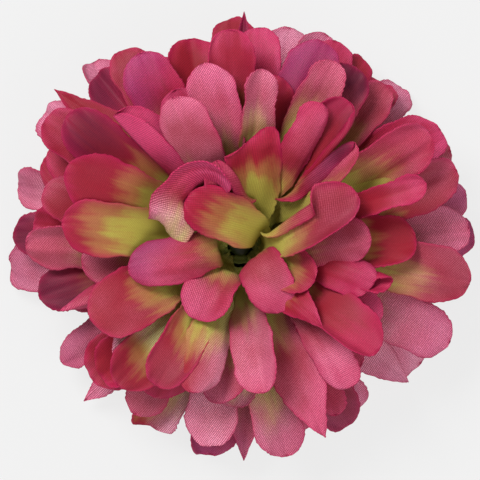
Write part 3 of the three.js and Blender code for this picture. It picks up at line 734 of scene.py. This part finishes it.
def mix(tree, share, a, b):
    made = node(tree, "ShaderNodeMix", data_type="RGBA")
    for socket, value in ((made.inputs[0], share), (made.inputs[6], a), (made.inputs[7], b)):
        if isinstance(value, tuple):
            socket.default_value = (*value, 1)
        else:
            tree.links.new(value, socket)
    return made.outputs[2]


def attribute(tree, name, output="Fac"):
    return node(tree, "ShaderNodeAttribute", attribute_name=name).outputs[output]


def clamp(tree, value):
    limited = node(tree, "ShaderNodeClamp")
    tree.links.new(value, limited.inputs["Value"])
    return limited.outputs[0]


def noise(tree, place, size, detail):
    """Smooth noise about zero, with grains of the stated size in metres."""
    made = node(tree, "ShaderNodeTexNoise", Scale=1 / size, Detail=detail)
    tree.links.new(place, made.inputs["Vector"])
    return minus(tree, made.outputs["Fac"], 0.5)


YARN_ANGLES = (40, -50)  # of the two sets of yarns on the cut sheet, degrees
WAVE_PERIOD = math.pi / 10  # scale at which the wave texture repeats once a unit
STREAK_STRETCH = 0.1  # streaks are ten times as long as wide
STREAK_SIZE, BLOT_SIZE, PATCH_SIZE, FUZZ_SIZE = 1.4 * MM, 6 * MM, 10 * MM, 0.4 * MM
# Where each colour is on the dye's scale, on a deep red petal, a pink and a faded one;
# the faded ramp's pale colours also serve as painted satin sheen.
DEEP_STOPS = (
    (0.0, "root_shadow"), (0.14, "root"), (0.30, "root"), (0.43, "blend"),
    (0.58, "crimson"), (0.76, "crimson"), (0.96, "rose"),
)
PINK_STOPS = (
    (0.0, "root_shadow"), (0.14, "root"), (0.30, "root"), (0.42, "blend"),
    (0.54, "crimson"), (0.68, "rose"), (0.88, "pink"),
)
PALE_AND_SHEEN_STOPS = ((0.0, "root"), (0.3, "pale_root"), (0.62, "faded"), (1.0, "faded"))


def yarns_of(tree, pitch):
    """Brightness of the two sets of yarns, which cross at a right angle.

    The weave runs straight across the whole cut sheet, so it meets each petal at
    another angle.
    """
    cut = node(tree, "ShaderNodeUVMap", uv_map="cut").outputs["UV"]
    yarns = []
    for angle in YARN_ANGLES:
        turned = node(tree, "ShaderNodeMapping")
        turned.inputs["Rotation"].default_value = (0, 0, math.radians(angle))
        turned.inputs["Scale"].default_value = (1 / pitch, 1 / pitch, 1)
        tree.links.new(cut, turned.inputs["Vector"])
        yarn = node(tree, "ShaderNodeTexWave", wave_type="BANDS", bands_direction="X",
                    Scale=WAVE_PERIOD, Distortion=1.6, Detail=1.0, Detail_Scale=0.9)
        tree.links.new(turned.outputs[0], yarn.inputs["Vector"])
        yarns.append(yarn.outputs["Fac"])
    crossing = times(tree, yarns[0], yarns[1])
    return plus(tree, times(tree, crossing, 0.6), times(tree, yarns[0], 0.4))


def cloth_material():
    """Woven cloth, sprayed from olive at the root through crimson to pink."""
    known = bpy.data.materials.get("petal_cloth")
    if known:
        return known
    dye = settings("flower_dye")
    cloth = settings("flower_cloth")
    made = bpy.data.materials.new("petal_cloth")
    made.use_nodes = True
    tree = made.node_tree
    shader = tree.nodes["Principled BSDF"]

    place = attribute(tree, "petal_place", "Vector")
    stretch = node(tree, "ShaderNodeMapping")
    stretch.inputs["Scale"].default_value = (1, STREAK_STRETCH, 1)
    tree.links.new(place, stretch.inputs["Vector"])
    streak = noise(tree, stretch.outputs[0], STREAK_SIZE, 3.0)
    blot = noise(tree, place, BLOT_SIZE, 3.0)
    patch = noise(tree, place, PATCH_SIZE, 2.0)
    fuzz = times(tree, noise(tree, place, FUZZ_SIZE, 2.0), 0.9)
    woven = plus(tree, yarns_of(tree, cloth.weave), fuzz)
    bare = minus(tree, woven, 0.4)

    # from olive to red, in streaks and blots
    wander = plus(tree, times(tree, blot, 0.15), times(tree, streak, 0.24))
    at = plus(tree, attribute(tree, "dye_place"), wander)
    # the deep share also paints shade on a few petals lying in shade
    deep = plus(tree, attribute(tree, "dye_deep"), times(tree, patch, 1.2))
    colour = mix(tree, clamp(tree, deep), ramp(tree, at, dye, PINK_STOPS),
                 ramp(tree, at, dye, DEEP_STOPS))

    # where the spray was thin the white yarns show through it; this pale mix, lightest on
    # the yarns, is also painted satin sheen, and painted light on some petals lying in shade
    faded = attribute(tree, "dye_faded")
    patchy = times(tree, patch, plus(tree, 0.15, times(tree, faded, 1.4)))
    on_yarns = plus(tree, 0.78, times(tree, bare, 0.9))
    thin_and_sheen = clamp(tree, times(tree, clamp(tree, minus(tree, faded, patchy)), on_yarns))
    colour = mix(tree, thin_and_sheen, colour, ramp(tree, at, dye, PALE_AND_SHEEN_STOPS))

    # violet and plum sprayed on the tips, plum also painting shade on a few petals lying in shade, and
    # dye gathered along the cut edge
    for name, unevenness, least, spray in (
        ("dye_violet", blot, 0.8, dye.violet),
        ("dye_plum", streak, 0.95, dye.plum),
        ("dye_rim", streak, 1.0, dye.rim),
    ):
        share = times(tree, attribute(tree, name), plus(tree, unevenness, least))
        colour = mix(tree, clamp(tree, share), colour, tuple(spray))

    # the weave shows least where the dye is thick
    open_weave = minus(tree, 1.0, times(tree, clamp(tree, deep), 0.45))
    shown = times(tree, open_weave, clamp(tree, plus(tree, 0.35, times(tree, at, 0.9))))
    shade = plus(tree, 1.0, times(tree, bare, times(tree, shown, cloth.weave_contrast)))
    value = node(tree, "ShaderNodeHueSaturation")
    tree.links.new(colour, value.inputs["Color"])
    tree.links.new(shade, value.inputs["Value"])
    bump = node(tree, "ShaderNodeBump", Strength=0.3, Distance=0.1 * MM)
    tree.links.new(woven, bump.inputs["Height"])
    tree.links.new(bump.outputs["Normal"], shader.inputs["Normal"])
    tree.links.new(value.outputs["Color"], shader.inputs["Base Color"])
    tree.links.new(plus(tree, times(tree, streak, 0.25), 0.52), shader.inputs["Roughness"])
    shader.inputs["Specular IOR Level"].default_value = 0.14
    return made


def plastic_material(name, colour, roughness):
    """Moulded plastic with a faint mottle from the tool."""
    made = bpy.data.materials.new(name)
    made.use_nodes = True
    tree = made.node_tree
    shader = tree.nodes["Principled BSDF"]
    place = node(tree, "ShaderNodeTexCoord").outputs["Object"]
    grain = node(tree, "ShaderNodeTexNoise", Scale=900.0, Detail=4.0)
    cloud = node(tree, "ShaderNodeTexNoise", Scale=120.0, Detail=2.0)
    for texture in (grain, cloud):
        tree.links.new(place, texture.inputs["Vector"])
    darker = tuple(0.6 * c for c in colour)
    tree.links.new(mix(tree, cloud.outputs["Fac"], darker, tuple(colour)),
                   shader.inputs["Base Color"])
    rough = plus(tree, times(tree, grain.outputs["Fac"], 0.2), roughness - 0.1)
    tree.links.new(rough, shader.inputs["Roughness"])
    bump = node(tree, "ShaderNodeBump", Strength=0.25, Distance=0.1 * MM)
    tree.links.new(grain.outputs["Fac"], bump.inputs["Height"])
    tree.links.new(bump.outputs["Normal"], shader.inputs["Normal"])
    return made


# ------------------ settings

def colour_setting(name, description, default):
    return bpy.props.FloatVectorProperty(
        name=name, description=description, default=default, subtype="COLOR", min=0, max=1)


def length_setting(name, description, default):
    return bpy.props.FloatProperty(
        name=name, description=description, default=default, unit="LENGTH", precision=5)


def power_setting(name, description, default):
    return bpy.props.FloatProperty(
        name=name, description=description, default=default, unit="POWER", min=0)


class FLOWER_PG_cloth(bpy.types.PropertyGroup):
    thickness: length_setting("Thickness", "Thickness of the stiffened cloth", 0.26 * MM)
    weave: length_setting("Weave pitch", "Distance from yarn to yarn", 0.41 * MM)
    weave_contrast: bpy.props.FloatProperty(
        name="Weave contrast", description="How much lighter a yarn is than the gap beside it",
        default=0.9, min=0, max=1, subtype="FACTOR")
    wave: length_setting("Wave", "Height of the soft waves in a petal", 0.45 * MM)
    vein: length_setting("Vein", "Depth of the pressed vein", 0.25 * MM)
    fray: length_setting("Fray", "Unevenness of the cut edge", 0.09 * MM)


class FLOWER_PG_dye(bpy.types.PropertyGroup):
    root_shadow: colour_setting("Root, inner end", "Cloth beside the hub", (0.12, 0.14, 0.022))
    root: colour_setting("Root", "Olive at the petal's root", (0.40, 0.345, 0.060))
    blend: colour_setting("Blend", "Where olive and red overlap", (0.36, 0.13, 0.045))
    crimson: colour_setting("Crimson", "Deep red of the body", (0.29, 0.011, 0.024))
    rose: colour_setting("Rose", "Body and tip of most petals", (0.43, 0.017, 0.066))
    pink: colour_setting("Pink", "Body and tip of the light petals", (0.58, 0.062, 0.160))
    violet: colour_setting("Violet", "Spray on some tips", (0.30, 0.04, 0.17))
    # dark plum on the tips; on a few petals lying in shade it also paints that shade
    plum: colour_setting("Plum", "Dark spray on some tips", (0.10, 0.006, 0.024))
    rim: colour_setting("Cut edge", "Where dye gathers along the cut edge", (0.42, 0.012, 0.075))
    # pale pink of thinly dyed cloth, also used as painted satin sheen and as painted light on petals
    # lying in shade
    faded: colour_setting("Faded", "Thinly dyed petals", (0.82, 0.36, 0.48))
    pale_root: colour_setting("Pale root", "Cream middle of a thinly dyed petal", (0.68, 0.60, 0.31))


class FLOWER_PG_plastic(bpy.types.PropertyGroup):
    calyx: colour_setting("Calyx", "Olive green plastic of the calyx", (0.15, 0.19, 0.04))
    # dark green plastic, made very dark as painted shade for the hole in the heart
    centre_peg: colour_setting("Peg", "Dark green plastic of the peg", (0.02, 0.035, 0.008))


class FLOWER_PG_stage(bpy.types.PropertyGroup):
    floor: colour_setting("Floor", "Colour of the plain floor", (0.87, 0.87, 0.87))
    key_power: power_setting("Key light", "Light from the upper left", 4.5)
    fill_power: power_setting("Fill light", "Softer light from the lower right", 1.85)
    room_light: bpy.props.FloatProperty(
        name="Room light", description="Strength of the even light all round",
        default=0.41, min=0)
    frame_width: length_setting(
        "Frame width", "Width in view at the height of the lowest petals", 0.1147)
    distance: length_setting("Camera height", "Camera above the surface", 0.75)
    offset: length_setting(
        "Camera offset", "How far the view's centre is from the axis", 0.0012)


# ------------------ operators

class FLOWER_OT_petal_sheet(bpy.types.Operator):
    """Press one die-cut petal sheet and lay it on the peg"""
    bl_idname = "flower.petal_sheet"
    bl_label = "Petal sheet"

    sheet: bpy.props.IntProperty(
        name="Sheet", description="Which sheet, from 0 at the bottom", default=0, min=0, max=7)

    def execute(self, context):
        number = self.sheet
        name = f"petal_sheet_{number + 1}"
        hub = SHEETS[number]["hub"]
        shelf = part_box("calyx")[1][2] / MM
        level = shelf + HUB_CLEARANCE + FABRIC_RELIEF / 2 + number * SHEET_PITCH
        thickness = settings("flower_cloth").thickness / MM
        draw = drawer(1000 + number)
        rng = np.random.default_rng(40 + number)
        ring, faces = hub_ring(hub, level, thickness)
        points = [ring]
        count = len(ring)
        fields = {key: [np.zeros(count)] for key in SPRAYED}
        place = [np.zeros((count, 3))]
        cut = [ring[:, :2] * MM]
        area = math.pi * (hub ** 2 - HUB_HOLE_RADIUS ** 2)
        for n, row in enumerate(PETALS[number]):
            form = petal_form(number, row, draw)
            grid = petal_grid(form, row, len(PETALS[number]), level, rng)
            middle = grid["middle"]
            normal = grid_normals(middle)
            faces += blade_faces(ROWS_ALONG, POINTS_ACROSS, count)
            count += 2 * ROWS_ALONG * POINTS_ACROSS
            area += flat_area(grid)
            dye = dye_of(grid, row, rng)
            along = grid["u"][:, None] + 0 * grid["x"]
            # each petal has noise of its own, at its own height in the noise
            at = np.stack([grid["x"] * MM, along * form["length"] * MM,
                           0 * along + 0.1 * n + number], axis=2).reshape(-1, 3)
            for side in (0.5, -0.5):
                points.append((middle + side * thickness * normal).reshape(-1, 3))
                for key in SPRAYED:
                    fields[key].append(np.clip(dye[key], 0, FULLEST).ravel())
                place.append(at)
                cut.append(grid["flat"].reshape(-1, 2) * MM)

        piece = mesh_object(f"{name}_cloth", np.concatenate(points) * MM, faces)
        mesh = piece.data
        for key, values in fields.items():
            layer = mesh.attributes.new(key, "FLOAT", "POINT")
            layer.data.foreach_set("value", np.concatenate(values).astype(np.float32))
        layer = mesh.attributes.new("petal_place", "FLOAT_VECTOR", "POINT")
        layer.data.foreach_set("vector", np.concatenate(place).astype(np.float32).ravel())
        flat = np.concatenate(cut)
        corner = np.empty(len(mesh.loops), dtype=np.int32)
        mesh.loops.foreach_get("vertex_index", corner)
        layer = mesh.uv_layers.new(name="cut")
        layer.data.foreach_set("uv", flat[corner].astype(np.float32).ravel())
        mesh.materials.append(cloth_material())

        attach(piece, "root")
        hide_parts(name)
        return {"FINISHED"}


def turned_piece(name, profile):
    """A closed solid turned about the axis from (radius, height) points, in mm."""
    points, faces = [], []
    for r, z in profile:
        points += [(r * math.cos(a) * MM, r * math.sin(a) * MM, z * MM) for a in circle()]
    last = len(profile) - 1
    for k in range(last):
        faces += ring_wall(k, k + 1)
    faces.append(list(range(TURNED_SIDES - 1, -1, -1)))
    faces.append([last * TURNED_SIDES + i for i in range(TURNED_SIDES)])
    return mesh_object(name, points, faces)


# Each moulded piece's outline from its foot round to its middle: radius and height in mm.
CALYX = [
    (7.6, 0.0), (7.9, 0.1), (8.0, 0.4), (7.75, 1.1), (7.25, 2.3), (6.9, 3.4), (6.8, 4.0),
    (7.05, 4.6), (8.1, 6.1), (9.4, 7.55), (10.3, 8.5), (10.5, 8.85), (10.5, 9.95),
    (10.42, 10.13), (10.2, 10.2), (2.1, 10.2), (1.95, 10.05), (1.95, 3.7),
]
PEG = [
    (1.4, 4.05), (1.6, 4.3), (1.6, 18.45), (1.65, 18.5), (2.3, 18.5), (2.45, 18.56),
    (2.5, 18.7), (2.5, 19.15), (2.4, 19.4), (2.1, 19.62), (1.5, 19.8), (0.8, 19.88), (0.2, 19.9),
]


class FLOWER_OT_plastic(bpy.types.Operator):
    """Mould the calyx and the peg"""
    bl_idname = "flower.plastic"
    bl_label = "Plastic pieces"

    def execute(self, context):
        colours = settings("flower_plastic")
        for name, profile, slot, roughness in (
            ("calyx", CALYX, "calyx_plastic", 0.45),
            ("centre_peg", PEG, "peg_plastic", 0.4),
        ):
            piece = turned_piece(f"{name}_moulded", profile)
            piece.data.materials.append(plastic_material(slot, getattr(colours, name), roughness))
            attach(piece, "root")
            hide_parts(name)
        return {"FINISHED"}


FLOOR_HALF = 2.0  # half of the floor's side, m
FLOOR_BASE = 0.07  # how much of the floor's brightness is lit by the lamps
FLOOR_GLOW = 0.889  # and how strongly it is lit from itself
LIGHT_AIM = (0, 0, 0.03)
KEY_PLACE, KEY_SIZE = (-0.26, 0.30, 0.62), 0.28
FILL_PLACE, FILL_SIZE = (0.28, -0.30, 0.62), 0.5
SENSOR = 36  # mm
WIDTH_LEVEL = 0.008  # height at which the frame's width is measured, m


def soft_light(name, place, size, power):
    light = bpy.data.lights.new(name, "AREA")
    light.energy = power
    light.size = size
    lamp = bpy.data.objects.new(name, light)
    lamp.location = place
    lamp.rotation_euler = (Vector(LIGHT_AIM) - Vector(place)).to_track_quat("-Z", "Y").to_euler()
    bpy.context.scene.collection.objects.link(lamp)


class FLOWER_OT_stage(bpy.types.Operator):
    """Set up the floor, the studio light and the camera above the flower"""
    bl_idname = "flower.stage"
    bl_label = "Stage"

    def execute(self, context):
        stage = settings("flower_stage")
        scene = context.scene
        scene.view_settings.view_transform = "Standard"
        half = FLOOR_HALF
        corners = [(-half, -half, 0), (half, -half, 0), (half, half, 0), (-half, half, 0)]
        floor = mesh_object("floor", corners, [[0, 1, 2, 3]])
        made = bpy.data.materials.new("floor_paper")
        made.use_nodes = True
        shader = made.node_tree.nodes["Principled BSDF"]
        shader.inputs["Base Color"].default_value = (FLOOR_BASE, FLOOR_BASE, FLOOR_BASE, 1)
        shader.inputs["Roughness"].default_value = 0.9
        shader.inputs["Emission Color"].default_value = (*stage.floor, 1)
        shader.inputs["Emission Strength"].default_value = FLOOR_GLOW
        floor.data.materials.append(made)

        world = bpy.data.worlds.new("studio")
        scene.world = world
        world.use_nodes = True
        background = world.node_tree.nodes["Background"]
        background.inputs["Color"].default_value = (1, 1, 1, 1)
        background.inputs["Strength"].default_value = stage.room_light
        soft_light("key", KEY_PLACE, KEY_SIZE, stage.key_power)
        soft_light("fill", FILL_PLACE, FILL_SIZE, stage.fill_power)

        camera = bpy.data.cameras.new("camera")
        camera.sensor_width = SENSOR
        camera.lens = SENSOR * (stage.distance - WIDTH_LEVEL) / stage.frame_width
        eye = bpy.data.objects.new("camera", camera)
        eye.location = (0, stage.offset, stage.distance)
        scene.collection.objects.link(eye)
        scene.camera = eye
        return {"FINISHED"}


class FLOWER_PT_panel(bpy.types.Panel):
    """Lists the pieces of the flower"""
    bl_idname = "FLOWER_PT_panel"
    bl_label = "Fabric flower"
    bl_space_type = "VIEW_3D"
    bl_region_type = "UI"
    bl_category = "Flower"

    def draw(self, context):
        for operator in (FLOWER_OT_petal_sheet, FLOWER_OT_plastic, FLOWER_OT_stage):
            self.layout.operator(operator.bl_idname)


CLASSES = (
    FLOWER_PG_cloth, FLOWER_PG_dye, FLOWER_PG_plastic, FLOWER_PG_stage,
    FLOWER_OT_petal_sheet, FLOWER_OT_plastic, FLOWER_OT_stage, FLOWER_PT_panel,
)


def register():
    for cls in CLASSES:
        bpy.utils.register_class(cls)
    bpy.types.Scene.flower_cloth = bpy.props.PointerProperty(type=FLOWER_PG_cloth)
    bpy.types.Scene.flower_dye = bpy.props.PointerProperty(type=FLOWER_PG_dye)
    bpy.types.Scene.flower_plastic = bpy.props.PointerProperty(type=FLOWER_PG_plastic)
    bpy.types.Scene.flower_stage = bpy.props.PointerProperty(type=FLOWER_PG_stage)


def unregister():
    del bpy.types.Scene.flower_stage
    del bpy.types.Scene.flower_plastic
    del bpy.types.Scene.flower_dye
    del bpy.types.Scene.flower_cloth
    for cls in reversed(CLASSES):
        bpy.utils.unregister_class(cls)


def main():
    register()
    bpy.ops.flower.stage()
    bpy.ops.flower.plastic()
    for sheet in range(len(SHEETS)):
        bpy.ops.flower.petal_sheet(sheet=sheet)


if __name__ == "__main__":
    main()
